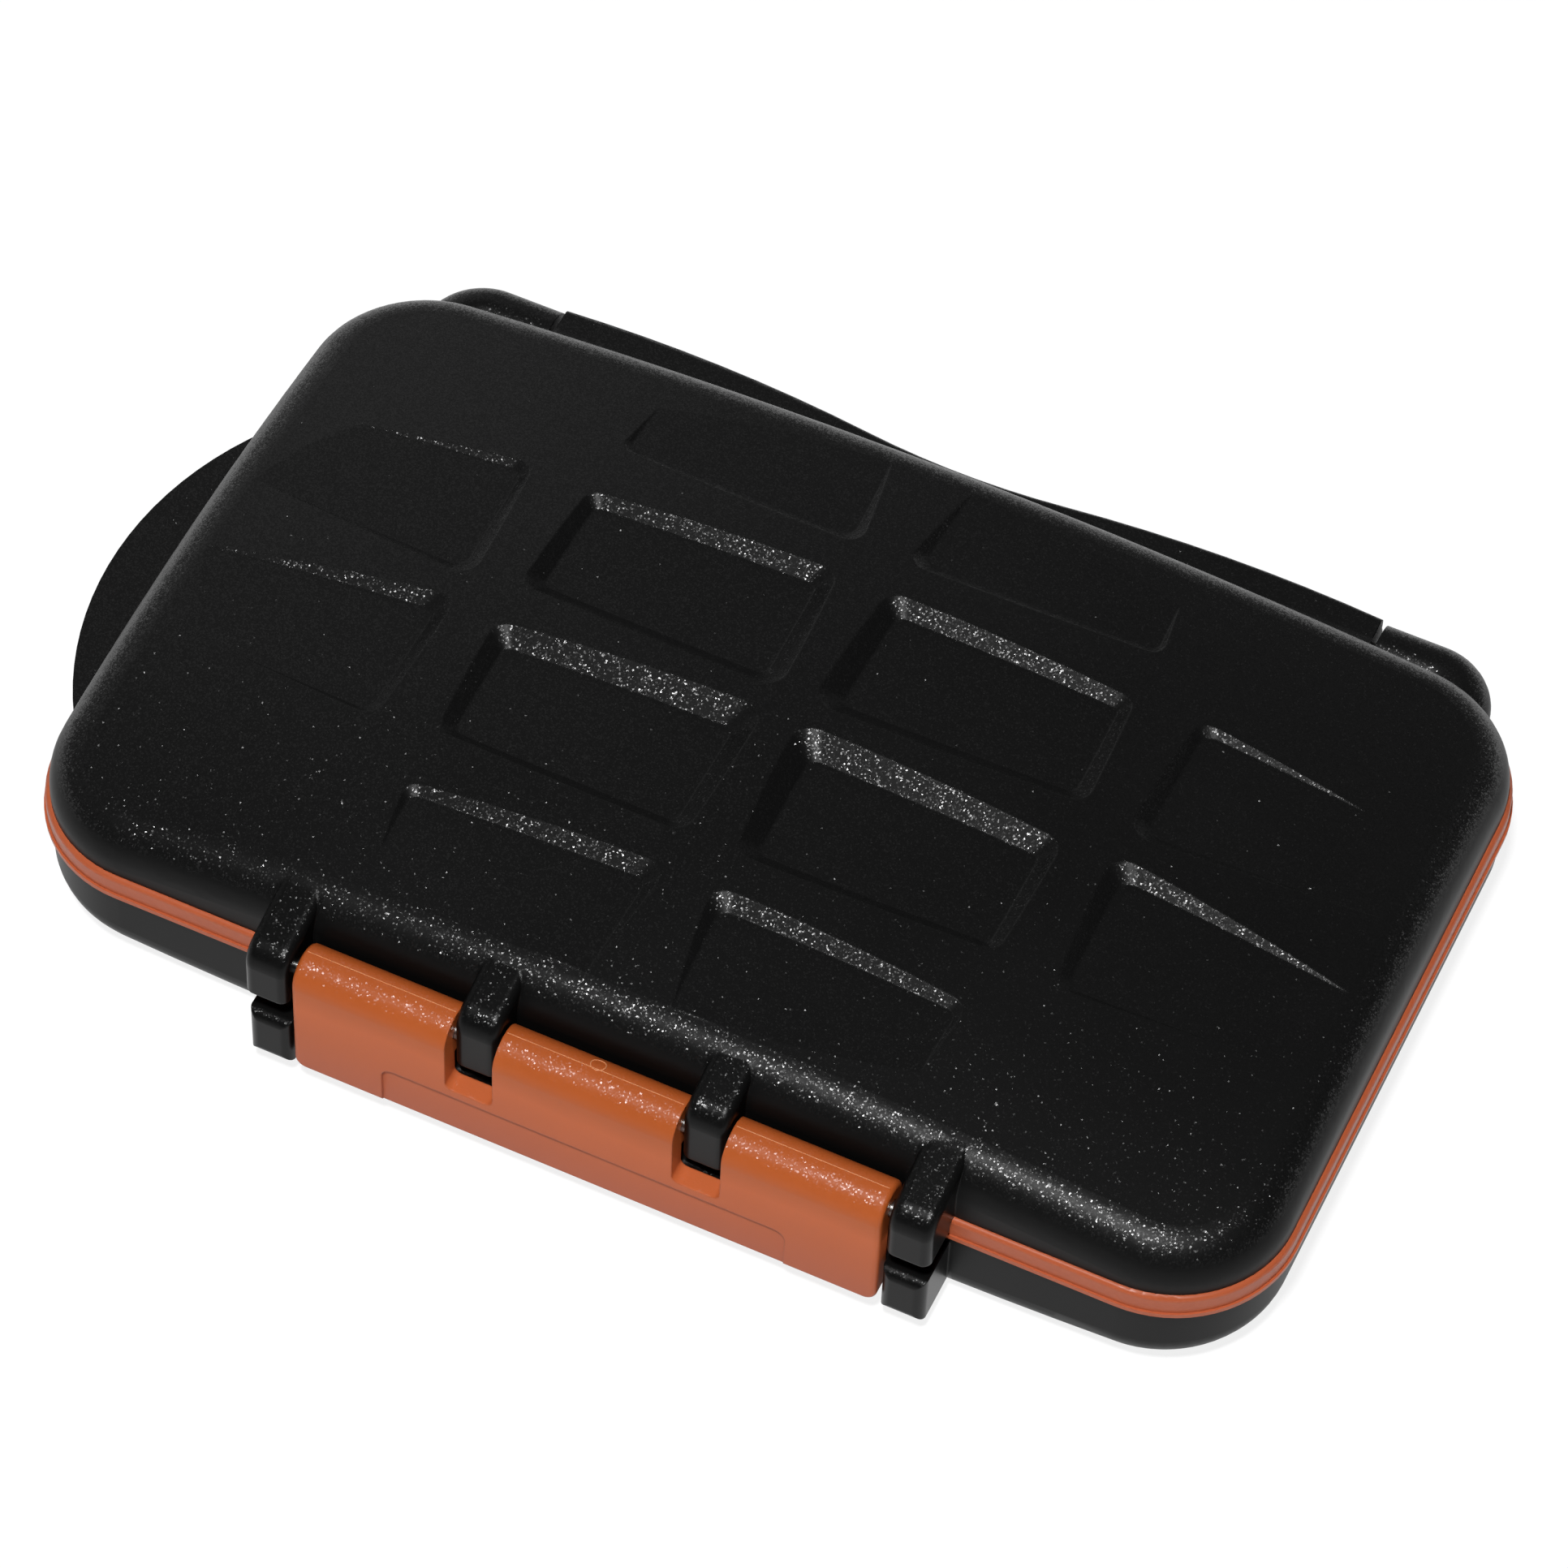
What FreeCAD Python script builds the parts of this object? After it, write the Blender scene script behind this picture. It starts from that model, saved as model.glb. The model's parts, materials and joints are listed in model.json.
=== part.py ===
import FreeCAD, Part
import math
import os

# Memory card case: a crowned lid and a flat-bottomed base, hinged at the rear,
# closed by a pivoting front latch and sealed by a ring between the two halves.
# Millimetres. Origin: middle of the flat underside. +X to the right as seen from
# the latch, +Y to the rear hinge, +Z up.

V = FreeCAD.Vector
X_AXIS = V(1, 0, 0)
Y_AXIS = V(0, 1, 0)
Z_AXIS = V(0, 0, 1)

# Outline that base, seal and lid share
shell_length = 120.0
shell_depth = 71.6
corner_radius = 11.4
wall = 2.2

# Base: flat underside whose ends sweep up, with a rolled lower edge
base_height = 10.0
base_floor = 2.0
base_flat_half = 26.0
base_end_rise = 2.0
base_roll = 3.8

# Seal ring between the rims, standing proud of both
seal_height = 2.6
seal_proud = 0.45
seal_lip_proud = 0.2
seal_lip_height = 0.5
seal_round = 0.5
seal_gap = 0.05
seal_clearance = 0.45
tongue_width = 0.8
tongue_height = 1.0
tongue_inset = 0.9
tongue_clearance = 0.06

# Lid: crowned both ways, with a rolled rim
lid_height = 10.5
lid_end_drop = 4.0
lid_side_drop = 3.0
lid_roll = 4.5
lid_skin = 2.8

# Recesses in the lid: a grid without its corner cells, on a flatter crown
recess_columns = 4
recess_rows = 4
recess_pitch_x = 30.6
recess_pitch_y = 18.4
recess_shift_y = 0.6
recess_length = 22.6
recess_width = 11.2
recess_depth = 1.6
recess_end_drop = 2.2
recess_side_drop = 1.0
recess_corner = 1.0
recess_slope_deg = 37.0

# Latch, its pin and the four lid ears that carry the pin
latch_stand_off = 5.3
latch_half = 28.4
latch_wall = 2.0
latch_knuckle_radius = 2.5
latch_pin_rise = 2.0
latch_drop = 11.7
latch_pin_radius = 0.75
latch_pin_fit = 0.06
latch_edge_round = 0.5
latch_corner = 1.2
pin_seat_fit = 0.02
pin_end_wall = 1.0
pin_end_recess = 0.2
ear_width = 4.2
ear_outer_x = 31.0
ear_inner_x = 11.0
ear_inner_set_back = 1.25
ear_inner_rise = 1.1
ear_drop = 1.1
ear_nose_radius = 2.5
ear_nose_rise = 0.65
ear_slope_deg = 15.0
ear_root = 3.0
ear_round = 0.9
notch_clearance = 0.22
notch_below_pin = 5.6
notch_corner = 0.8
pull_half = 19.6
pull_below_pin = 6.6
pull_depth = 0.3
pull_corner = 1.2
hook_reach = 1.2
hook_height = 2.4
hook_clearance = 0.25
hook_end_inset = 1.5

# Strike rail and guard blocks on the front of the base
rail_set_down = 1.55
rail_reach = 2.9
rail_height = 2.2
rail_round = 0.6
block_x = 30.8
block_width = 4.2
block_height = 5.9
block_round = 1.0

# Rear hinge: two base barrels that bend round into the corners, and a lid leaf
hinge_back = 3.5
barrel_radius = 2.9
barrel_from_end = 17.7
barrel_straight = 5.8
barrel_bend = 3.5
web_height = 2.2
leaf_seam = 0.5
leaf_rise = 0.3
leaf_thickness = 2.0
leaf_lobe_reach = 6.1
leaf_lobe_x = 30.0
leaf_waist_reach = 4.2
leaf_waist_radius = 80.0
leaf_neck_rise = 1.5
leaf_neck_gap = 0.15
leaf_round = 0.7
leaf_knuckle_radius = 2.5
leaf_knuckle_inner = 18.0
hinge_pin_radius = 1.0
hinge_pin_fit = 0.05
hinge_pin_length = 27.0
hinge_pin_seat = 5.5

# Crescent lug on the left end, with a cord slot beside the wall
lug_reach = 8.1
lug_radius = 34.3
lug_set_down = 2.0
lug_thickness = 3.0
cord_slot_width = 2.2
cord_slot_length = 14.0
cord_slot_wall_gap = 0.4

# Card trays: moulded inserts with pockets for cards of 32 x 24 x 2.1
tray_clearance = 0.3
tray_set_back = 0.3
pocket_columns = 3
pocket_rows = 2
pocket_length = 32.6
pocket_width = 24.6
pocket_depth = 2.1
pocket_corner = 1.0
pocket_pitch_x = 34.4
pocket_pitch_y = 27.0
scoop_radius = 7.0
scoop_extra_depth = 0.6

# Places worked out from the sizes above
half_length = shell_length / 2
half_depth = shell_depth / 2
seal_top = base_height + seal_height
lid_rim = seal_top + seal_gap
lid_top = lid_rim + lid_height
latch_front = -half_depth - latch_stand_off
latch_pin_y = latch_front + latch_knuckle_radius
latch_pin_z = lid_rim + latch_pin_rise
latch_bottom = latch_pin_z - latch_drop
latch_back = latch_front + latch_wall
rail_top = base_height - rail_set_down
rail_bottom = rail_top - rail_height
hinge_y = half_depth + hinge_back
hinge_z = base_height
barrel_start = half_length - barrel_from_end
leaf_half = barrel_start - leaf_seam
lug_top = base_height - lug_set_down
margin = 10.0
ear_places = (-ear_outer_x, -ear_inner_x, ear_inner_x, ear_outer_x)


def plan_wire(length, depth, corner, z):
    """Rounded rectangle round the Z axis, as a closed wire at height z."""
    x = length / 2
    y = depth / 2
    r = corner
    d = r * math.sqrt(0.5)
    edges = []
    for sx, sy in ((1, 1), (-1, 1), (-1, -1), (1, -1)):
        centre = V(sx * (x - r), sy * (y - r), z)
        on_x = V(sx * x, sy * (y - r), z)
        on_y = V(sx * (x - r), sy * y, z)
        middle = centre + V(sx * d, sy * d, 0)
        ends = (on_x, on_y) if sx == sy else (on_y, on_x)
        edges.append(Part.Arc(ends[0], middle, ends[1]).toShape())
        if sx == sy:
            run_end = V(-sx * (x - r), sy * y, z)
        else:
            run_end = V(sx * x, -sy * (y - r), z)
        edges.append(Part.LineSegment(ends[1], run_end).toShape())
    return Part.Wire(edges)


def plan_prism(length, depth, corner, low, high):
    face = Part.Face(plan_wire(length, depth, corner, low))
    return face.extrude(V(0, 0, high - low))


def inset_prism(inset, low, high):
    """Prism on the shared outline, moved inwards by inset (outwards if negative)."""
    return plan_prism(shell_length - 2 * inset, shell_depth - 2 * inset, corner_radius - inset, low, high)


def box(x0, x1, y0, y1, z0, z1):
    return Part.makeBox(x1 - x0, y1 - y0, z1 - z0, V(x0, y0, z0))


def x_cylinder(radius, x0, x1, y, z):
    return Part.makeCylinder(radius, x1 - x0, V(x0, y, z), X_AXIS)


def x_section(points, x0, x1):
    """Straight-sided (y, z) section run along X from x0 to x1."""
    corners = [V(x0, y, z) for y, z in points]
    face = Part.Face(Part.makePolygon(corners + corners[:1]))
    return face.extrude(V(x1 - x0, 0, 0))


def arc_radius(half_chord, drop):
    return (half_chord ** 2 + drop ** 2) / (2 * drop)


def rounded(solid, radius, chosen):
    """Fillet every edge of the solid for which chosen(edge) is true."""
    edges = [edge for edge in solid.Edges if chosen(edge)]
    return solid.makeFillet(radius, edges)


def crowned_slab(top, end_drop, side_drop, thickness):
    """Slab with a top that falls by end_drop to the ends and side_drop to the sides."""
    radius_x = arc_radius(half_length, end_drop)
    radius_y = arc_radius(half_depth, side_drop)
    reach_y = half_depth + margin
    side_z = top - radius_y + math.sqrt(radius_y ** 2 - reach_y ** 2)
    low = top - thickness
    rear = V(0, reach_y, side_z)
    front = V(0, -reach_y, side_z)
    rear_low = V(0, reach_y, low)
    front_low = V(0, -reach_y, low)
    edges = [
        Part.Arc(front, V(0, 0, top), rear).toShape(),
        Part.LineSegment(rear, rear_low).toShape(),
        Part.LineSegment(rear_low, front_low).toShape(),
        Part.LineSegment(front_low, front).toShape(),
    ]
    turn = math.degrees(math.asin((half_length + margin) / radius_x))
    face = Part.Face(Part.Wire(edges))
    pivot = V(0, 0, top - radius_x)
    face.rotate(pivot, Y_AXIS, -turn)
    return face.revolve(pivot, Y_AXIS, 2 * turn)


def lid_form(inset, low, top, roll):
    """Crowned solid on the shell's outline, rim rolled if roll is set; cavity and tray use it too."""
    prism = inset_prism(inset, low, top + margin)
    slab = crowned_slab(top, lid_end_drop, lid_side_drop, top - low + margin)
    form = prism.common(slab)
    if roll == 0:
        return form
    return rounded(form, roll, lambda edge: all(vertex.Z > low + 0.01 for vertex in edge.Vertexes))


def base_form(inset, floor, high, roll):
    """Pan with swept-up ends, lower edge rolled if roll is set; cavity and tray use it too."""
    end = half_length + margin
    radius = arc_radius(half_length - base_flat_half, base_end_rise)
    turn = math.asin((end - base_flat_half) / radius)
    end_z = floor + radius * (1 - math.cos(turn))
    half_turn_x = base_flat_half + radius * math.sin(turn / 2)
    half_turn_z = floor + radius * (1 - math.cos(turn / 2))
    y = -half_depth - margin
    points = {
        "left": V(-end, y, end_z),
        "left_mid": V(-half_turn_x, y, half_turn_z),
        "flat_left": V(-base_flat_half, y, floor),
        "flat_right": V(base_flat_half, y, floor),
        "right_mid": V(half_turn_x, y, half_turn_z),
        "right": V(end, y, end_z),
        "right_top": V(end, y, high),
        "left_top": V(-end, y, high),
    }
    edges = [
        Part.Arc(points["left"], points["left_mid"], points["flat_left"]).toShape(),
        Part.LineSegment(points["flat_left"], points["flat_right"]).toShape(),
        Part.Arc(points["flat_right"], points["right_mid"], points["right"]).toShape(),
        Part.LineSegment(points["right"], points["right_top"]).toShape(),
        Part.LineSegment(points["right_top"], points["left_top"]).toShape(),
        Part.LineSegment(points["left_top"], points["left"]).toShape(),
    ]
    face = Part.Face(Part.Wire(edges))
    trough = face.extrude(V(0, -2 * y, 0))
    form = trough.common(inset_prism(inset, floor - margin, high))
    if roll == 0:
        return form

    def lower_rim(edge):
        x_values = [vertex.X for vertex in edge.Vertexes]
        across_flat = max(abs(x) for x in x_values) < base_flat_half + 0.01 and max(x_values) - min(x_values) < 0.01
        return all(vertex.Z < high - 0.01 for vertex in edge.Vertexes) and not across_flat

    return rounded(form, roll, lower_rim)


def grid(columns, rows, pitch_x, pitch_y):
    """Centres of a grid round the origin, as (column, row, x, y)."""
    for column in range(columns):
        for row in range(rows):
            x = (column - (columns - 1) / 2) * pitch_x
            y = (row - (rows - 1) / 2) * pitch_y
            yield column, row, x, y


def recess_cutter():
    """Sloped-wall recesses that end on a crown flatter than the lid's own."""
    floor_top = lid_top - recess_depth
    run_per_rise = 1 / math.tan(math.radians(recess_slope_deg))
    under = recess_depth / 2
    over = 1.4 * recess_depth
    radius_x = arc_radius(half_length, recess_end_drop)
    radius_y = arc_radius(half_depth, recess_side_drop)
    cells = []
    for column, row, x, y in grid(recess_columns, recess_rows, recess_pitch_x, recess_pitch_y):
        if column in (0, recess_columns - 1) and row in (0, recess_rows - 1):
            continue
        y += recess_shift_y
        drop_x = radius_x - math.sqrt(radius_x ** 2 - x ** 2)
        drop_y = radius_y - math.sqrt(radius_y ** 2 - y ** 2)
        floor = floor_top - drop_x - drop_y
        wires = []
        for rise in (-under, over):
            grow = 2 * rise * run_per_rise
            wire = plan_wire(recess_length + grow, recess_width + grow, recess_corner + grow / 4, floor + rise)
            wire.translate(V(x, y, 0))
            wires.append(wire)
        cells.append(Part.makeLoft(wires, True, True))
    floor_slab = crowned_slab(floor_top, recess_end_drop, recess_side_drop, lid_height + margin)
    return Part.makeCompound(cells).cut(floor_slab)


def ear(x, front, nose_z):
    """One lid ear: a round nose over the latch pin, then a top that slopes up into the lid's roll."""
    low = lid_rim - ear_drop
    side = x - ear_width / 2
    clear_of_seal = -half_depth - seal_proud - seal_clearance
    root = -half_depth + ear_root
    slope = math.radians(ear_slope_deg)

    def nose(tilt):
        """Point of the nose where its surface leans forward by tilt from level."""
        return V(side, front + ear_nose_radius * (1 - math.sin(tilt)), nose_z + ear_nose_radius * math.cos(tilt))

    nose_end = nose(slope)
    corners = [
        nose_end,
        V(side, root, nose_end.z + (root - nose_end.y) * math.tan(slope)),
        V(side, root, lid_rim),
        V(side, clear_of_seal, lid_rim),
        V(side, clear_of_seal, low),
        V(side, front, low),
        V(side, front, nose_z),
    ]
    edges = [Part.LineSegment(a, b).toShape() for a, b in zip(corners, corners[1:])]
    edges.append(Part.Arc(corners[-1], nose((math.pi / 2 + slope) / 2), nose_end).toShape())
    solid = Part.Face(Part.Wire(edges)).extrude(V(ear_width, 0, 0))

    def front_or_top(edge):
        ends = edge.Vertexes
        across = abs(ends[0].X - ends[-1].X) > 0.01
        return not across and all(end.Y < front + 0.01 or end.Z > nose_z - 0.01 for end in ends)

    return rounded(solid, ear_round, front_or_top)


def hinge_leaf():
    """Flat leaf behind the lid, waisted in the middle, with a pin knuckle under each lobe."""
    top = lid_rim + leaf_rise
    low = top - leaf_thickness
    inner = half_depth + seal_proud + seal_clearance
    lobe_y = half_depth + leaf_lobe_reach
    waist_y = half_depth + leaf_waist_reach
    depth = lobe_y - waist_y
    radii_sum = (leaf_lobe_x ** 2 + depth ** 2) / (2 * depth)
    lobe_radius = radii_sum - leaf_waist_radius
    tangent_x = leaf_lobe_x * leaf_waist_radius / radii_sum
    tangent_y = waist_y + leaf_waist_radius - math.sqrt(leaf_waist_radius ** 2 - tangent_x ** 2)
    end_y = lobe_y - lobe_radius + math.sqrt(lobe_radius ** 2 - (leaf_half - leaf_lobe_x) ** 2)
    edges = [
        Part.Arc(V(-leaf_half, end_y, low), V(-leaf_lobe_x, lobe_y, low), V(-tangent_x, tangent_y, low)).toShape(),
        Part.Arc(V(-tangent_x, tangent_y, low), V(0, waist_y, low), V(tangent_x, tangent_y, low)).toShape(),
        Part.Arc(V(tangent_x, tangent_y, low), V(leaf_lobe_x, lobe_y, low), V(leaf_half, end_y, low)).toShape(),
        Part.LineSegment(V(leaf_half, end_y, low), V(leaf_half, inner, low)).toShape(),
        Part.LineSegment(V(leaf_half, inner, low), V(-leaf_half, inner, low)).toShape(),
        Part.LineSegment(V(-leaf_half, inner, low), V(-leaf_half, end_y, low)).toShape(),
    ]
    plate = Part.Face(Part.Wire(edges)).extrude(V(0, 0, leaf_thickness))
    plate = rounded(plate, leaf_round, lambda edge: edge.Curve.TypeId == "Part::GeomCircle")
    neck_low = lid_rim + leaf_neck_gap
    neck = x_section(
        [
            (half_depth - wall / 2, neck_low),
            (inner, neck_low),
            (inner, low),
            (inner + leaf_thickness, low),
            (inner + leaf_thickness, top),
            (half_depth - wall / 2, lid_rim + leaf_neck_rise),
        ],
        -leaf_half,
        leaf_half,
    )
    leaf = plate.fuse(neck)
    for x0, x1 in ((-leaf_half, -leaf_knuckle_inner), (leaf_knuckle_inner, leaf_half)):
        leaf = leaf.fuse(x_cylinder(leaf_knuckle_radius, x0, x1, hinge_y, hinge_z))
    return leaf


def lid_shell():
    shell = lid_form(0, lid_rim, lid_top, lid_roll)
    shell = shell.cut(recess_cutter())
    for x in ear_places:
        inner = abs(x) < ear_outer_x
        front = latch_front + (ear_inner_set_back if inner else 0)
        nose_z = latch_pin_z + ear_nose_rise + (ear_inner_rise if inner else 0)
        shell = shell.fuse(ear(x, front, nose_z))
    shell = shell.fuse(hinge_leaf())
    shell = shell.cut(lid_form(wall, lid_rim - margin, lid_top - lid_skin, 0))
    ear_end = ear_outer_x + ear_width / 2
    bore = x_cylinder(latch_pin_radius + pin_seat_fit, -ear_end - 1, ear_end - pin_end_wall, latch_pin_y, latch_pin_z)
    hinge_bore = x_cylinder(hinge_pin_radius + hinge_pin_fit, -leaf_half, leaf_half, hinge_y, hinge_z)
    return shell.cut(bore).cut(hinge_bore).removeSplitter()


def barrel(side):
    """Base barrel on one side: a straight run, then a bend that enters the corner."""
    bend_x = barrel_start + barrel_straight
    run = x_cylinder(barrel_radius, barrel_start, bend_x, hinge_y, hinge_z)
    bend = Part.makeTorus(barrel_bend, barrel_radius, V(bend_x, hinge_y - barrel_bend, hinge_z), Z_AXIS, 0, 360, 90)
    web = box(barrel_start, bend_x, half_depth - wall / 2, hinge_y, hinge_z - barrel_radius,
              hinge_z - barrel_radius + web_height)
    bend_web = Part.makeCylinder(barrel_bend, web_height, V(bend_x, hinge_y - barrel_bend, hinge_z - barrel_radius))
    solid = run.fuse(bend).fuse(web).fuse(bend_web)
    seal_room = seal_proud + seal_lip_proud + seal_clearance
    solid = solid.cut(inset_prism(-seal_room, base_height, lid_top))
    if side < 0:
        solid = solid.mirror(V(0, 0, 0), X_AXIS)
    return solid


def lug():
    """Crescent flange on the left end: part of a disc that the wall cuts off."""
    centre_x = -half_length - lug_reach + lug_radius
    disc = Part.makeCylinder(lug_radius, lug_thickness, V(centre_x, 0, lug_top - lug_thickness))
    keep = box(-half_length - lug_reach - 1, -half_length + wall / 2, -lug_radius, lug_radius,
               lug_top - lug_thickness, lug_top)
    slot_x = -half_length - cord_slot_wall_gap - cord_slot_width / 2
    slot = plan_prism(cord_slot_width, cord_slot_length, cord_slot_width * 0.49, lug_top - lug_thickness - 1,
                      lug_top + 1)
    slot.translate(V(slot_x, 0, 0))
    return disc.common(keep).cut(slot)


def base_shell():
    shell = base_form(0, 0, base_height, base_roll)
    tongue_ring = inset_prism(tongue_inset, base_height, base_height + tongue_height)
    tongue_hole = inset_prism(tongue_inset + tongue_width, base_height - 1, base_height + tongue_height + 1)
    shell = shell.fuse(tongue_ring)
    rail = box(-ear_outer_x, ear_outer_x, -half_depth - rail_reach, -half_depth + wall / 2, rail_bottom, rail_top)
    rail = rounded(rail, rail_round, lambda edge: all(end.Z > rail_top - 0.01 and end.Y < -half_depth - 0.01
                                                      for end in edge.Vertexes))
    shell = shell.fuse(rail)
    for x in (-block_x, block_x):
        block = box(x - block_width / 2, x + block_width / 2, latch_front, -half_depth + wall / 2,
                    rail_top - block_height, rail_top)
        block = rounded(block, block_round, lambda edge: edge.BoundBox.YMax < latch_front + 0.01)
        shell = shell.fuse(block)
    shell = shell.fuse(lug())
    for side in (-1, 1):
        shell = shell.fuse(barrel(side))
    shell = shell.cut(tongue_hole)
    shell = shell.cut(base_form(wall, base_floor, base_height + margin, 0))
    for side in (-1, 1):
        x0 = min(side * barrel_start, side * (barrel_start + hinge_pin_seat))
        bore = x_cylinder(hinge_pin_radius + pin_seat_fit, x0, x0 + hinge_pin_seat, hinge_y, hinge_z)
        shell = shell.cut(bore)
    return shell.removeSplitter()


def seal_ring():
    """Ring on the base rim: proud outside, with a thin lower lip and a groove for the tongue."""
    body = inset_prism(-seal_proud, base_height, seal_top)
    body = rounded(body, seal_round, lambda edge: all(vertex.Z > seal_top - 0.01 for vertex in edge.Vertexes))
    lip = inset_prism(-seal_proud - seal_lip_proud, base_height, base_height + seal_lip_height)
    hole = inset_prism(wall, base_height - 1, seal_top + 1)
    groove_low = base_height - 1
    groove_high = base_height + tongue_height + tongue_clearance
    groove = inset_prism(tongue_inset - tongue_clearance, groove_low, groove_high)
    core = inset_prism(tongue_inset + tongue_width + tongue_clearance, groove_low, groove_high)
    return body.fuse(lip).cut(hole).cut(groove.cut(core)).removeSplitter()


def latch():
    """Hanging latch: rolled knuckles over the pin, flat front wall, hook behind its foot."""
    roll = x_cylinder(latch_knuckle_radius, -latch_half, latch_half, latch_pin_y, latch_pin_z)
    roll = rounded(roll, latch_edge_round, lambda edge: edge.Curve.TypeId == "Part::GeomCircle")
    plate = box(-latch_half, latch_half, latch_front, latch_back, latch_bottom, latch_pin_z)

    def lower_corner(edge):
        low = all(end.Z < latch_bottom + 0.01 for end in edge.Vertexes)
        return low and abs(edge.Vertexes[0].X - edge.Vertexes[-1].X) < 0.01

    def front_outline(edge):
        on_front = all(end.Y < latch_front + 0.01 for end in edge.Vertexes)
        below_roll = any(end.Z < latch_pin_z - 0.01 for end in edge.Vertexes)
        return on_front and below_roll

    plate = rounded(plate, latch_corner, lower_corner)
    plate = rounded(plate, latch_edge_round, front_outline)
    solid = roll.fuse(plate)
    hook_top = rail_bottom - hook_clearance
    hook_half = latch_half - hook_end_inset
    hook = x_section(
        [
            (latch_back - latch_wall / 2, hook_top),
            (latch_back + hook_reach, hook_top),
            (latch_back + hook_reach, hook_top - hook_height / 3),
            (latch_back, hook_top - hook_height),
            (latch_back - latch_wall / 2, hook_top - hook_height),
        ],
        -hook_half,
        hook_half,
    )
    solid = solid.fuse(hook)
    notch_floor = latch_pin_z - notch_below_pin
    notch_half = ear_width / 2 + notch_clearance
    for x in (-ear_inner_x, ear_inner_x):
        notch = box(x - notch_half, x + notch_half, latch_front - 1, latch_pin_y + latch_knuckle_radius + 1,
                    notch_floor, latch_pin_z + latch_knuckle_radius + 1)
        notch = rounded(notch, notch_corner, lambda edge: edge.BoundBox.YLength > latch_knuckle_radius
                        and edge.BoundBox.ZMax < notch_floor + 0.01)
        solid = solid.cut(notch)
    pull_top = latch_pin_z - pull_below_pin
    pull = box(-pull_half, pull_half, latch_front - 1, latch_front + pull_depth, latch_bottom - 1, pull_top)
    pull = rounded(pull, pull_corner, lambda edge: edge.BoundBox.YLength > 1 and edge.BoundBox.ZMin > pull_top - 0.01)
    solid = solid.cut(pull)
    bore = x_cylinder(latch_pin_radius + latch_pin_fit, -latch_half - 1, latch_half + 1, latch_pin_y, latch_pin_z)
    return solid.cut(bore).removeSplitter()


def latch_pin():
    ear_end = ear_outer_x + ear_width / 2
    pin_start = -ear_end + pin_end_recess
    pin_stop = ear_end - pin_end_wall - pin_end_recess
    return x_cylinder(latch_pin_radius, pin_start, pin_stop, latch_pin_y, latch_pin_z)


def hinge_pin(side):
    outer = barrel_start + hinge_pin_seat - pin_end_recess
    x0 = outer - hinge_pin_length if side > 0 else -outer
    return x_cylinder(hinge_pin_radius, x0, x0 + hinge_pin_length, hinge_y, hinge_z)


def pocket_cutter(mouth, into):
    """Card pockets and finger scoops cut from height mouth, in direction into (+1 up, -1 down)."""
    outside = mouth - into * margin
    floor = mouth + into * pocket_depth
    cutters = []
    for column, row, x, y in grid(pocket_columns, pocket_rows, pocket_pitch_x, pocket_pitch_y):
        pocket = plan_prism(pocket_length, pocket_width, pocket_corner, min(outside, floor), max(outside, floor))
        pocket.translate(V(x, y, 0))
        cutters.append(pocket)
    scoop_floor = floor + into * scoop_extra_depth
    for column, row, x, y in grid(pocket_columns, 1, pocket_pitch_x, pocket_pitch_y):
        low = min(outside, scoop_floor)
        cutters.append(Part.makeCylinder(scoop_radius, abs(scoop_floor - outside), V(x, y, low)))
    return cutters[0].multiFuse(cutters[1:])


def base_tray():
    top = base_height - tray_set_back
    block = base_form(wall + tray_clearance, base_floor + tray_clearance, top, 0)
    return block.cut(pocket_cutter(top, -1)).removeSplitter()


def lid_tray():
    low = lid_rim + tray_set_back
    block = lid_form(wall + tray_clearance, low, lid_top - lid_skin - tray_clearance, 0)
    return block.cut(pocket_cutter(low, 1)).removeSplitter()


nodes = {
    "base_shell": base_shell(),
    "lid_shell": lid_shell(),
    "seal_ring": seal_ring(),
    "latch": latch(),
    "latch_pin": latch_pin(),
    "hinge_pin_left": hinge_pin(-1),
    "hinge_pin_right": hinge_pin(1),
    "base_card_tray": base_tray(),
    "lid_card_tray": lid_tray(),
}

os.makedirs("parts", exist_ok=True)
for name, shape in nodes.items():
    b = shape.optimalBoundingBox(False)
    print(name, shape.ShapeType, "solids", len(shape.Solids), "valid", shape.isValid(), "volume", round(shape.Volume, 1),
          "box", [round(v, 2) for v in (b.XMin, b.XMax, b.YMin, b.YMax, b.ZMin, b.ZMax)])
    shape.exportStep("parts/" + name + ".step")
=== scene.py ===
# %% [markdown]
# # A hard memory card case, dressed for a photograph
# The CAD model already has every solid of the case: two shells, a seal ring, a latch,
# its pin, two hinge pins and two card trays. This lesson loads that model as a fixed
# frame and gives it what CAD leaves out: finishes, light and a camera. Nothing of the
# frame is moved.

# %% Load the frame
import json
import math

import bpy
from mathutils import Matrix, Vector


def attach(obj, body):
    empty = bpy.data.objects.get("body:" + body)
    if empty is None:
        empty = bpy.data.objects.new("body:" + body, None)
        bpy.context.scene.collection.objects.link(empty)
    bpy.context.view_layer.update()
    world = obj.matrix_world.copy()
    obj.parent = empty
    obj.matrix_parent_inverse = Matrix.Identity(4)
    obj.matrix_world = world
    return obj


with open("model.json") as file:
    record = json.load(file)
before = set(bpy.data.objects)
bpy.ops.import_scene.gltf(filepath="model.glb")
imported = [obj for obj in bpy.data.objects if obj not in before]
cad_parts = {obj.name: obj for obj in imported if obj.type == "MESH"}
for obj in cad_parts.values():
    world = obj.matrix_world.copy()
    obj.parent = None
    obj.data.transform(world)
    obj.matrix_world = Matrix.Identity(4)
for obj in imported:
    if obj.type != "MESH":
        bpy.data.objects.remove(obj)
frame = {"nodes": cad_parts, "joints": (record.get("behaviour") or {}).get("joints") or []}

MM = 0.001
nodes = frame["nodes"]
scene = bpy.context.scene
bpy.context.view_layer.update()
print("nodes:", sorted(nodes))

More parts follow.
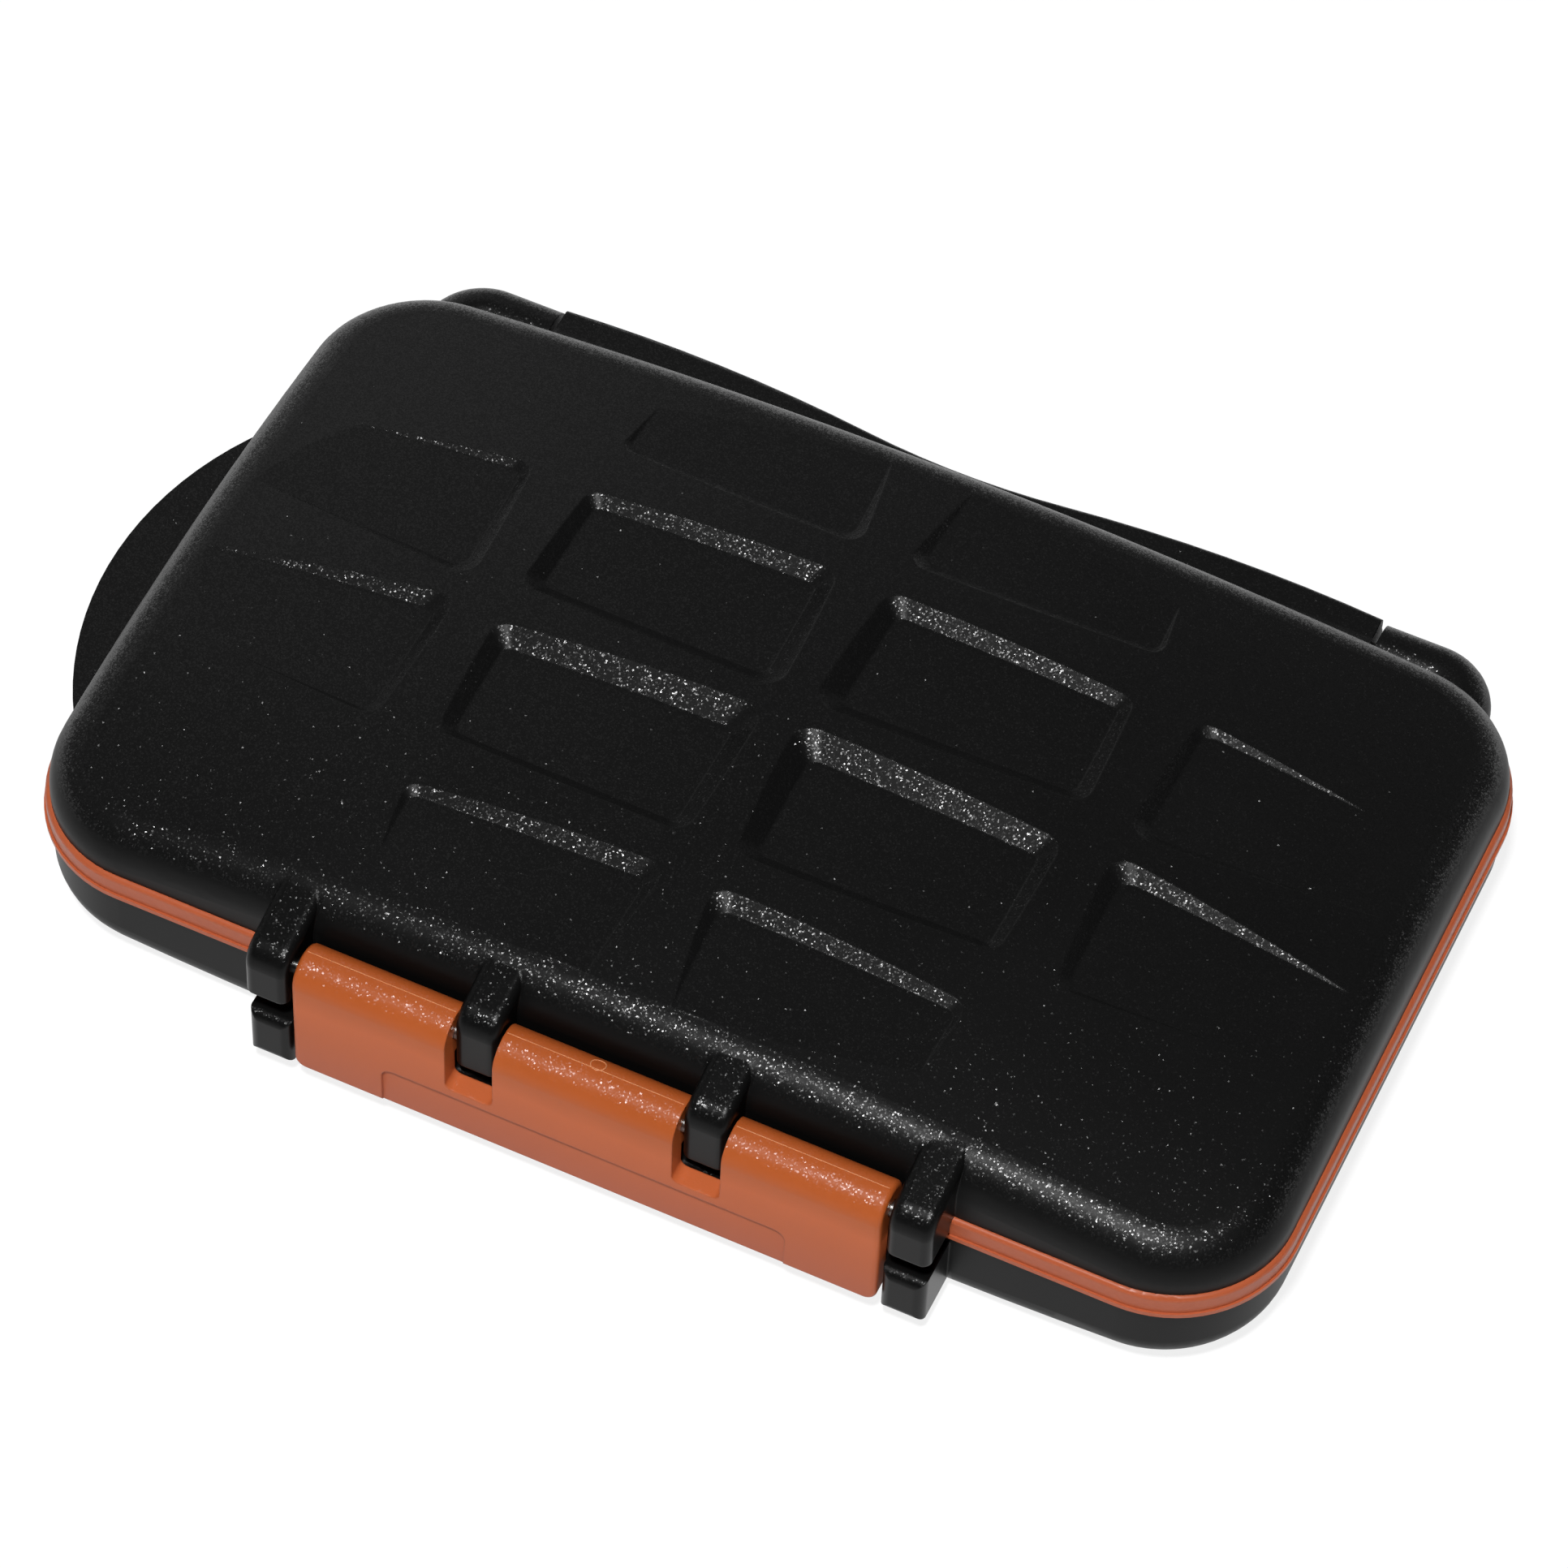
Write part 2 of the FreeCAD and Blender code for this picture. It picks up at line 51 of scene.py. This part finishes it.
# %% [markdown]
# ## Colours
# Colours are picked as sRGB hex values, as in any paint program. Shader sockets
# want linear light, so one function converts them all.

# %% Colour helper


def linear(hex_colour):
    """An sRGB hex colour such as "#c4622a" as linear RGBA."""
    values = [int(hex_colour[i:i + 2], 16) / 255 for i in (1, 3, 5)]
    rgb = [v / 12.92 if v <= 0.04045 else ((v + 0.055) / 1.055) ** 2.4 for v in values]
    return (*rgb, 1.0)


print("mid grey in linear light:", [round(v, 3) for v in linear("#808080")])

# %% [markdown]
# ## Nodes
# Materials are small networks. One function adds a node, sets its properties, fills
# its sockets and links what is handed in as another node's output. That keeps each
# material short enough to read as a recipe. A mix node has sockets of several types
# under one name, so those for colours and for plain numbers go by index.

# %% Node helper
COLOUR_A, COLOUR_B, MIXED_COLOUR = 6, 7, 2
NUMBER_A, NUMBER_B, MIXED_NUMBER = 2, 3, 0


def add(tree, kind, sockets=None, ramp=(), **settings):
    """Adds a node. sockets maps an input's name or index to a value, or to an output to link.

    ramp lists the steps of a colour ramp, each a position and an sRGB hex colour.
    """
    node = tree.nodes.new(kind)
    for name, value in settings.items():
        setattr(node, name, value)
    for name, value in (sockets or {}).items():
        if isinstance(value, bpy.types.NodeSocket):
            tree.links.new(value, node.inputs[name])
        else:
            node.inputs[name].default_value = value
    if ramp:
        elements = node.color_ramp.elements
        while len(elements) < len(ramp):
            elements.new(1.0)
        for element, (position, hex_colour) in zip(elements, ramp):
            element.position = position
            element.color = linear(hex_colour)
    return node


def new_material(name):
    """An empty material and its tree."""
    material = bpy.data.materials.new(name)
    material.use_nodes = True
    material.node_tree.nodes.clear()
    return material, material.node_tree


def per_mm(size_mm):
    """Texture scale, in cycles per metre, of a pattern whose grain is size_mm wide."""
    return 1 / (size_mm * MM)


print("a 0.3 mm grain has a texture scale of", round(per_mm(0.3)))

# %% [markdown]
# ## Camera
# The photograph was taken from in front, a little to the right and well above, with a
# long lens. The place, the turn and the lens come from matching the lid's outline, its
# recesses and the latch to the photograph, so they are given as a place and three
# directions: to the right in the picture, down in the picture, and into the picture.

# %% Make the camera
camera_place = Vector((141.1, -336.5, 501.6)) * MM
picture_right = Vector((0.905412, 0.423439, 0.030477))
picture_down = Vector((0.356278, -0.718843, -0.596934))
into_picture = Vector((-0.230857, 0.551329, -0.801711))

camera_data = bpy.data.cameras.new("camera")
camera_data.sensor_width = 36.0
camera_data.lens = 155.38
camera_data.clip_start = 0.01
camera_data.clip_end = 60.0
camera = bpy.data.objects.new("camera", camera_data)
turn = Matrix((picture_right, -picture_down, -into_picture)).transposed()
camera.matrix_world = Matrix.Translation(camera_place) @ turn.to_4x4()
scene.collection.objects.link(camera)
scene.camera = camera
print("camera is", round(camera_place.length, 3), "m from the case's foot")

# %% [markdown]
# ## Table
# The case stands on a white table. A white floor that only receives light would turn
# grey beside the case, so for the camera, and for reflections, most of the floor's
# brightness is a steady white. The rest is lit, which keeps a soft, faint shadow.

# %% Floor
floor_size = 40.0
floor_gap = 0.05 * MM
steady_strength = 1.13
steady_share = 0.75

bpy.ops.mesh.primitive_plane_add(size=floor_size, location=(0, 0, -floor_gap))
floor = bpy.context.object
floor.name = "floor"
material, tree = new_material("white_table")
path = add(tree, "ShaderNodeLightPath")
lit = add(tree, "ShaderNodeBsdfDiffuse", {"Color": linear("#e0e0e0")})
steady = add(tree, "ShaderNodeEmission", {"Color": linear("#ffffff"), "Strength": steady_strength})
seen = add(tree, "ShaderNodeMath", {0: path.outputs["Is Camera Ray"],
                                    1: path.outputs["Is Glossy Ray"]}, operation="ADD")
seen = add(tree, "ShaderNodeMath", {0: seen.outputs[0],
                                    1: path.outputs["Is Transmission Ray"]}, operation="ADD")
share = add(tree, "ShaderNodeMapRange", {"Value": seen.outputs[0], "To Max": steady_share})
mixed = add(tree, "ShaderNodeMixShader", {0: share.outputs["Result"], 1: lit.outputs[0],
                                          2: steady.outputs[0]})
add(tree, "ShaderNodeOutputMaterial", {"Surface": mixed.outputs[0]})
floor.data.materials.append(material)
print("floor is", floor_size, "m wide")

# %% [markdown]
# ## Room
# Black plastic shows its surroundings more than its own colour. The room's walls are
# grey and its ceiling is dark, so the lid stays black while its far end picks up a pale
# sheen. The steps below are the sine of the height angle and the brightness there. The
# left rear of the room is bright and the rest is dim, which leaves the left walls of the
# lid's recesses dark.

# %% Surroundings
room_steps = [(0.0, "#606060"), (0.05, "#606060"), (0.3, "#7c7c7c"), (0.6, "#8c8c8c"),
              (0.74, "#6a6a6a"), (0.85, "#303030"), (0.97, "#101010")]
to_left_rear = (-0.6, 0.8, 0.0)
full_light_from = 0.55
dim_share = 0.17

world = bpy.data.worlds.new("studio")
world.use_nodes = True
scene.world = world
tree = world.node_tree
tree.nodes.clear()
place = add(tree, "ShaderNodeTexCoord")
height = add(tree, "ShaderNodeSeparateXYZ", {"Vector": place.outputs["Generated"]})
room = add(tree, "ShaderNodeValToRGB", {"Fac": height.outputs["Z"]}, ramp=room_steps)
left_rear = add(tree, "ShaderNodeVectorMath", {0: place.outputs["Generated"], 1: to_left_rear},
                operation="DOT_PRODUCT")
brightness = add(tree, "ShaderNodeMapRange", {"Value": left_rear.outputs["Value"],
                                              "From Max": full_light_from, "To Min": dim_share})
around = add(tree, "ShaderNodeBackground", {"Color": room.outputs["Color"],
                                            "Strength": brightness.outputs["Result"]})
add(tree, "ShaderNodeOutputWorld", {"Surface": around.outputs[0]})
print("room steps:", len(room_steps))

# %% [markdown]
# ## Lamps
# One small lamp hangs in front of the case, a little higher than the camera. It draws the
# glittering bands along the lid's front roll, on the recesses' back walls and on the
# latch. A weak, wide one at the left rear gives the far end of the lid a slight sheen.
# Both are plain white.

# %% Make the lamps


def soft_box(name, azimuth_deg, elevation_deg, distance, size, power):
    """Square lamp aimed at the case; azimuth 0 is in front of the latch, 90 at the right end."""
    lamp = bpy.data.lights.new(name, "AREA")
    lamp.shape = "SQUARE"
    lamp.size = size
    lamp.energy = power
    azimuth, elevation = math.radians(azimuth_deg), math.radians(elevation_deg)
    back = Vector((math.sin(azimuth) * math.cos(elevation),
                   -math.cos(azimuth) * math.cos(elevation), math.sin(elevation)))
    holder = bpy.data.objects.new(name, lamp)
    holder.location = back * distance
    holder.rotation_mode = "QUATERNION"
    holder.rotation_quaternion = back.to_track_quat("Z", "Y")
    scene.collection.objects.link(holder)


soft_box("key_lamp", azimuth_deg=13, elevation_deg=66, distance=1.2, size=0.10, power=14.5)
soft_box("fill_lamp", azimuth_deg=-137, elevation_deg=33, distance=1.6, size=0.8, power=1.9)

# %% [markdown]
# ## Facets of a spark-eroded grain
# Shells and latch are moulded in tools whose surface was eroded by sparks. That leaves
# tiny craters, each with its own glossy slope, so the plastic looks dull as a whole and
# glitters where a slope mirrors the lamp. A bump from noise could do this, but at a few
# samples it blurs into a grey haze. A Voronoi pattern gives one flat facet per cell
# instead, each leaning its own way: most lean a little, a few lean far. Which cells lean
# far is drawn from the cell's random colour. Real craters are about 0.05 mm wide; they
# are drawn two to three times as wide, so that they show.

# %% Facet helper
common_lean, farthest_lean = 0.37, 0.9
rarity = 2.5
shuffle = (7.0, 11.0, 13.0)
cell_middle = (0.5, 0.5, 0.5)


def crater_facets(tree, place, edge, size_mm, tilt):
    """Normal of small flat facets, size_mm wide, each leaning its own way; tilt scales the lean."""
    cells = add(tree, "ShaderNodeTexVoronoi", {"Vector": place.outputs["Object"],
                                               "Scale": per_mm(size_mm)})
    colour = cells.outputs["Color"]
    lean = add(tree, "ShaderNodeVectorMath", {0: colour, 1: cell_middle}, operation="SUBTRACT")
    shuffled = add(tree, "ShaderNodeVectorMath", {0: colour, 1: shuffle}, operation="DOT_PRODUCT")
    chance = add(tree, "ShaderNodeMath", {0: shuffled.outputs["Value"]}, operation="FRACT")
    rare = add(tree, "ShaderNodeMath", {0: chance.outputs[0], 1: rarity}, operation="POWER")
    reach = add(tree, "ShaderNodeMapRange", {"Value": rare.outputs[0],
                                             "To Min": common_lean * tilt,
                                             "To Max": farthest_lean * tilt})
    lean = add(tree, "ShaderNodeVectorMath", {0: lean.outputs[0],
                                              "Scale": reach.outputs["Result"]},
               operation="SCALE")
    leaning = add(tree, "ShaderNodeVectorMath", {0: edge.outputs[0], 1: lean.outputs[0]},
                  operation="ADD")
    return add(tree, "ShaderNodeVectorMath", {0: leaning.outputs[0]}, operation="NORMALIZE")


print("facets lean up to", round(math.degrees(math.atan(farthest_lean / 2))), "degrees each way")

# %% [markdown]
# ## Black ABS with a spark-eroded grain
# Both shells are moulded from black ABS. Its skin is matt, and a thin clear coat carries
# the facets. The ears and blocks are formed by slides with a smoother skin, and upright
# walls are wiped smooth as the moulding leaves the tool, so these glitter less. So does
# the level top, where the craters are shallower. First comes a mask for the ears and the
# blocks below them, which stand ahead of the front walls.

# %% Ear mask
outer_ear_x, inner_ear_x, ear_half = 31.0 * MM, 11.0 * MM, 2.3 * MM
ear_root_y, ear_front_y = -33.4 * MM, -34.0 * MM

shell_plastic, tree = new_material("black_ABS_spark_grained")
place = add(tree, "ShaderNodeTexCoord")
where = add(tree, "ShaderNodeSeparateXYZ", {"Vector": place.outputs["Object"]})
across = add(tree, "ShaderNodeMath", {0: where.outputs["X"]}, operation="ABSOLUTE")
outer_ear = add(tree, "ShaderNodeMath", {0: across.outputs[0], 1: outer_ear_x, 2: ear_half},
                operation="COMPARE")
inner_ear = add(tree, "ShaderNodeMath", {0: across.outputs[0], 1: inner_ear_x, 2: ear_half},
                operation="COMPARE")
in_line = add(tree, "ShaderNodeMath", {0: outer_ear.outputs[0], 1: inner_ear.outputs[0]},
              operation="ADD")
ahead = add(tree, "ShaderNodeMapRange", {"Value": where.outputs["Y"], "From Min": ear_root_y,
                                         "From Max": ear_front_y})
on_ear = add(tree, "ShaderNodeMath", {0: in_line.outputs[0], 1: ahead.outputs["Result"]},
             operation="MULTIPLY")
print("ears are", round(2 * ear_half / MM, 1), "mm wide in the mask")

# %% [markdown]
# The coat's weight follows the way a surface faces. That is told by the Z of its normal,
# which is 0 on an upright wall and 1 on a level top. It is the object's own normal, so an
# open lid keeps its finish. The bevel node rounds the sharp CAD edges in shading, as every
# moulded edge is rounded.

# %% Shell grain
grain_mm = 0.13
moulded_edge = 0.25 * MM
bevel_samples = 4
ear_loss = 0.35
coat_from_z, coat_full_z = 0.5, 0.75
coat_on_rolls = 0.37
top_from_z, top_full_z = 0.93, 0.985
coat_share_on_top = 0.33

facing = add(tree, "ShaderNodeSeparateXYZ", {"Vector": place.outputs["Normal"]})
smooth = add(tree, "ShaderNodeMath", {0: on_ear.outputs[0], 1: ear_loss}, operation="MULTIPLY")
lying = add(tree, "ShaderNodeMapRange", {"Value": facing.outputs["Z"], "From Min": coat_from_z,
                                         "From Max": coat_full_z, "To Max": coat_on_rolls})
level = add(tree, "ShaderNodeMapRange", {"Value": facing.outputs["Z"], "From Min": top_from_z,
                                         "From Max": top_full_z, "To Min": 1.0,
                                         "To Max": coat_share_on_top})
rough = add(tree, "ShaderNodeMath", {0: level.outputs["Result"], 1: smooth.outputs[0]},
            operation="SUBTRACT")
glints = add(tree, "ShaderNodeMath", {0: rough.outputs[0], 1: lying.outputs["Result"]},
             operation="MULTIPLY")
edge = add(tree, "ShaderNodeBevel", {"Radius": moulded_edge}, samples=bevel_samples)
facets = crater_facets(tree, place, edge, grain_mm, tilt=1.0)
print("craters per square mm:", round(1 / grain_mm ** 2))

# %% [markdown]
# The colour is a deep black that is never quite even: a moulding shows faint clouds,
# centimetres wide, where the melt flowed. The same clouds vary the gloss a little. The
# matt skin's specular level is below a bare polished plastic's, because the walls of the
# craters shade each other.

# %% Shell material
flow_cloud_mm = 18.0
least_roughness, most_roughness = 0.39, 0.45
ear_roughness = 0.3

cloud = add(tree, "ShaderNodeTexNoise", {"Vector": place.outputs["Object"],
                                         "Scale": per_mm(flow_cloud_mm), "Detail": 3.0})
tone = add(tree, "ShaderNodeMix", {0: cloud.outputs[0], COLOUR_A: linear("#0a0a0a"),
                                   COLOUR_B: linear("#0e0e0e")}, data_type="RGBA")
gloss = add(tree, "ShaderNodeMapRange", {"Value": cloud.outputs[0], "To Min": least_roughness,
                                         "To Max": most_roughness})
gloss = add(tree, "ShaderNodeMix", {0: on_ear.outputs[0], NUMBER_A: gloss.outputs["Result"],
                                    NUMBER_B: ear_roughness})
skin = add(tree, "ShaderNodeBsdfPrincipled", {"Base Color": tone.outputs[MIXED_COLOUR],
                                              "Roughness": gloss.outputs[MIXED_NUMBER],
                                              "IOR": 1.53,
                                              "Specular IOR Level": 0.11,
                                              "Normal": edge.outputs[0],
                                              "Coat Weight": glints.outputs[0],
                                              "Coat Roughness": 0.22,
                                              "Coat Normal": facets.outputs[0]})
add(tree, "ShaderNodeOutputMaterial", {"Surface": skin.outputs[0]})
for name in ("lid_shell", "base_shell"):
    nodes[name].data.materials[0] = shell_plastic
print("shells:", shell_plastic.name)

# %% [markdown]
# ## Orange polypropylene with a fine grain
# The latch is moulded from orange polypropylene with the same kind of grain, again drawn
# coarse enough to show. It glitters in a narrow band on its roll, which faces up to the
# lamp, and looks matt elsewhere. Its colour is a ramp over height that paints light into
# it: the roll is deeper and darker, a painted shade, while the upright front is paler and
# the foot slightly greyer, a painted reflection of the white floor. A cloud of noise
# blurs the steps of that ramp.

# %% Latch material
latch_grain_mm = 0.15
latch_cloud_mm = 12.0
latch_foot, latch_top = 3.0 * MM, 17.0 * MM
# painted light: the low steps are a painted reflection of the white floor, the top step a painted
# shade on the roll
latch_painted_light_tones = [(0.0, "#b15d3f"), (0.4, "#bd6036"), (0.65, "#c66435"), (0.8, "#ba5d2c"),
               (1.0, "#a95222")]
tone_blur = 0.08
coat_on_latch = 0.46

material, tree = new_material("orange_PP_fine_grained")
place = add(tree, "ShaderNodeTexCoord")
where = add(tree, "ShaderNodeSeparateXYZ", {"Vector": place.outputs["Object"]})
facing = add(tree, "ShaderNodeSeparateXYZ", {"Vector": place.outputs["Normal"]})
edge = add(tree, "ShaderNodeBevel", {"Radius": moulded_edge}, samples=bevel_samples)
facets = crater_facets(tree, place, edge, latch_grain_mm, tilt=0.9)
glints = add(tree, "ShaderNodeMapRange", {"Value": facing.outputs["Z"], "From Min": coat_from_z,
                                          "From Max": coat_full_z, "To Max": coat_on_latch})
cloud = add(tree, "ShaderNodeTexNoise", {"Vector": place.outputs["Object"],
                                         "Scale": per_mm(latch_cloud_mm), "Detail": 3.0})
up = add(tree, "ShaderNodeMapRange", {"Value": where.outputs["Z"], "From Min": latch_foot,
                                      "From Max": latch_top})
spread = add(tree, "ShaderNodeMapRange", {"Value": cloud.outputs[0], "To Min": -tone_blur,
                                          "To Max": tone_blur})
blurred = add(tree, "ShaderNodeMath", {0: up.outputs["Result"], 1: spread.outputs["Result"]},
              operation="ADD")
# the painted light ramp over height, blurred by the cloud
tone = add(tree, "ShaderNodeValToRGB", {"Fac": blurred.outputs[0]}, ramp=latch_painted_light_tones)
skin = add(tree, "ShaderNodeBsdfPrincipled", {"Base Color": tone.outputs["Color"],
                                              "Roughness": 0.42,
                                              "IOR": 1.49,
                                              "Specular IOR Level": 0.2,
                                              "Normal": edge.outputs[0],
                                              "Coat Weight": glints.outputs["Result"],
                                              "Coat Roughness": 0.26,
                                              "Coat Normal": facets.outputs[0]})
add(tree, "ShaderNodeOutputMaterial", {"Surface": skin.outputs[0]})
nodes["latch"].data.materials[0] = material
print("latch:", material.name)

# %% [markdown]
# ## Marks of the latch's mould
# Where the mould's two halves met, a hair-thin line of flash runs along the crown of the
# latch's roll, broken by the notches for the ears. In its middle is the ring left by the
# gate, the opening through which the plastic came in. Both are thin tubes sunk half into
# the roll. Their finish is painted paler than the latch, a painted highlight along these
# thin ridges.

# %% Flash material
flash_cloud_mm = 2.0

flash_painted_highlight, tree = new_material("orange_PP_flash_painted_highlight")
place = add(tree, "ShaderNodeTexCoord")
cloud = add(tree, "ShaderNodeTexNoise", {"Vector": place.outputs["Object"],
                                         "Scale": per_mm(flash_cloud_mm), "Detail": 2.0})
# pale tones: a painted highlight along the thin ridges
tone = add(tree, "ShaderNodeMix", {0: cloud.outputs[0], COLOUR_A: linear("#c06a38"),
                                   COLOUR_B: linear("#d89468")}, data_type="RGBA")
skin = add(tree, "ShaderNodeBsdfPrincipled", {"Base Color": tone.outputs[MIXED_COLOUR],
                                              "Roughness": 0.35, "IOR": 1.49})
add(tree, "ShaderNodeOutputMaterial", {"Surface": skin.outputs[0]})
print("flash:", flash_painted_highlight.name)

# %% [markdown]
# The tubes follow the latch's roll, whose axis is the latch's hinge in the frame and whose
# radius is that of the CAD model. A point on it is given by its place along the roll and
# its tilt from the top. Each tube rides on the latch, so it swings with it.

# %% Mould line and gate ring
latch_hinge = next(joint for joint in frame["joints"] if joint["name"] == "latch_hinge")
roll_y, roll_z = (value / MM for value in latch_hinge["pos_m"][1:])
roll_radius = 2.5
line_tilt = math.radians(-5)
line_mm = 0.1
line_runs = {"left": (-28.0, -13.5), "mid": (-8.5, 8.5), "right": (13.5, 28.0)}
gate_tilt = math.radians(-18)
gate_radius = 0.7
gate_mm = 0.12
gate_corners = 32


def on_roll(x, tilt):
    """Point on the latch's roll; tilt 0 is its top and grows towards the front."""
    y = roll_y - roll_radius * math.sin(tilt)
    z = roll_z + roll_radius * math.cos(tilt)
    return Vector((x, y, z)) * MM


def hair(name, points, thickness_mm, closed=False):
    """A thin tube along points, moulded on the latch."""
    data = bpy.data.curves.new(name, "CURVE")
    data.dimensions = "3D"
    data.bevel_depth = thickness_mm / 2 * MM
    data.bevel_resolution = 2
    data.use_fill_caps = True
    spline = data.splines.new("POLY")
    spline.points.add(len(points) - 1)
    spline.use_cyclic_u = closed
    for vertex, point in zip(spline.points, points):
        vertex.co = (*point, 1.0)
    data.materials.append(flash_painted_highlight)
    piece = bpy.data.objects.new(name, data)
    scene.collection.objects.link(piece)
    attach(piece, "latch")


for side, (start, stop) in line_runs.items():
    hair("mould_line_" + side, [on_roll(start, line_tilt), on_roll(stop, line_tilt)], line_mm)

turns = [2 * math.pi * i / gate_corners for i in range(gate_corners)]
gate_points = [on_roll(gate_radius * math.cos(a),
                       gate_tilt + gate_radius * math.sin(a) / roll_radius) for a in turns]
hair("gate_ring", gate_points, gate_mm, closed=True)

# %% [markdown]
# ## Orange seal
# The seal is a moulded thermoplastic elastomer: smooth, slightly waxy, and a touch redder
# than the latch. A fine grain, which is a low bump and a slight change of tone, keeps it
# from looking like glass. It is drawn coarser than the real one, so that it shows.

# %% Seal material
seal_grain_mm = 0.4
grain_height = 0.04 * MM

material, tree = new_material("orange_TPE_moulded")
place = add(tree, "ShaderNodeTexCoord")
grain = add(tree, "ShaderNodeTexNoise", {"Vector": place.outputs["Object"],
                                         "Scale": per_mm(seal_grain_mm), "Detail": 3.0})
bump = add(tree, "ShaderNodeBump", {"Height": grain.outputs[0], "Strength": 0.3,
                                    "Distance": grain_height})
tone = add(tree, "ShaderNodeMix", {0: grain.outputs[0], COLOUR_A: linear("#ab5230"),
                                   COLOUR_B: linear("#b35b38")}, data_type="RGBA")
skin = add(tree, "ShaderNodeBsdfPrincipled", {"Base Color": tone.outputs[MIXED_COLOUR],
                                              "Roughness": 0.38,
                                              "IOR": 1.5,
                                              "Specular IOR Level": 0.3,
                                              "Normal": bump.outputs[0]})
add(tree, "ShaderNodeOutputMaterial", {"Surface": skin.outputs[0]})
nodes["seal_ring"].data.materials[0] = material
print("seal:", material.name)

# %% [markdown]
# ## Steel pins
# The pins are ground steel wire. Fine scratches run round the pin, so the noise that
# varies tone and gloss is squeezed along X, the pin's own direction.

# %% Pin material
scratch_mm = 0.6
squeeze = (6.0, 1.0, 1.0)
polished_roughness, scratched_roughness = 0.18, 0.38

material, tree = new_material("steel_ground_wire")
place = add(tree, "ShaderNodeTexCoord")
squeezed = add(tree, "ShaderNodeMapping", {"Vector": place.outputs["Object"], "Scale": squeeze})
scratches = add(tree, "ShaderNodeTexNoise", {"Vector": squeezed.outputs[0],
                                             "Scale": per_mm(scratch_mm), "Detail": 3.0})
gloss = add(tree, "ShaderNodeMapRange", {"Value": scratches.outputs[0],
                                         "To Min": polished_roughness,
                                         "To Max": scratched_roughness})
tone = add(tree, "ShaderNodeMix", {0: scratches.outputs[0], COLOUR_A: linear("#8c8c8a"),
                                   COLOUR_B: linear("#a6a6a4")}, data_type="RGBA")
skin = add(tree, "ShaderNodeBsdfPrincipled", {"Base Color": tone.outputs[MIXED_COLOUR],
                                              "Metallic": 1.0,
                                              "Roughness": gloss.outputs["Result"]})
add(tree, "ShaderNodeOutputMaterial", {"Surface": skin.outputs[0]})
for name in ("latch_pin", "hinge_pin_left", "hinge_pin_right"):
    nodes[name].data.materials[0] = material
print("pins:", material.name)

# %% [markdown]
# ## Card trays
# The trays are moulded from a black elastomer, matt and slightly dusty-looking, with a
# fine leathery grain. They show only when the lid is open. A bump from noise does here,
# because nothing glitters, and the bevel node softens the pockets' edges.

# %% Tray material
tray_grain_mm = 0.35
soft_edge = 0.4 * MM

material, tree = new_material("black_TPE_matt")
place = add(tree, "ShaderNodeTexCoord")
grain = add(tree, "ShaderNodeTexNoise", {"Vector": place.outputs["Object"],
                                         "Scale": per_mm(tray_grain_mm), "Detail": 3.0})
edge = add(tree, "ShaderNodeBevel", {"Radius": soft_edge}, samples=bevel_samples)
bump = add(tree, "ShaderNodeBump", {"Height": grain.outputs[0], "Strength": 0.4,
                                    "Distance": grain_height, "Normal": edge.outputs[0]})
tone = add(tree, "ShaderNodeMix", {0: grain.outputs[0], COLOUR_A: linear("#1c1c1d"),
                                   COLOUR_B: linear("#262627")}, data_type="RGBA")
skin = add(tree, "ShaderNodeBsdfPrincipled", {"Base Color": tone.outputs[MIXED_COLOUR],
                                              "Roughness": 0.7,
                                              "IOR": 1.5,
                                              "Normal": bump.outputs[0]})
add(tree, "ShaderNodeOutputMaterial", {"Surface": skin.outputs[0]})
for name in ("base_card_tray", "lid_card_tray"):
    nodes[name].data.materials[0] = material
print("trays:", material.name)

# %% [markdown]
# ## View transform
# The view transform is Standard, so colours come out as written.

# %% Finish
scene.view_settings.view_transform = "Standard"
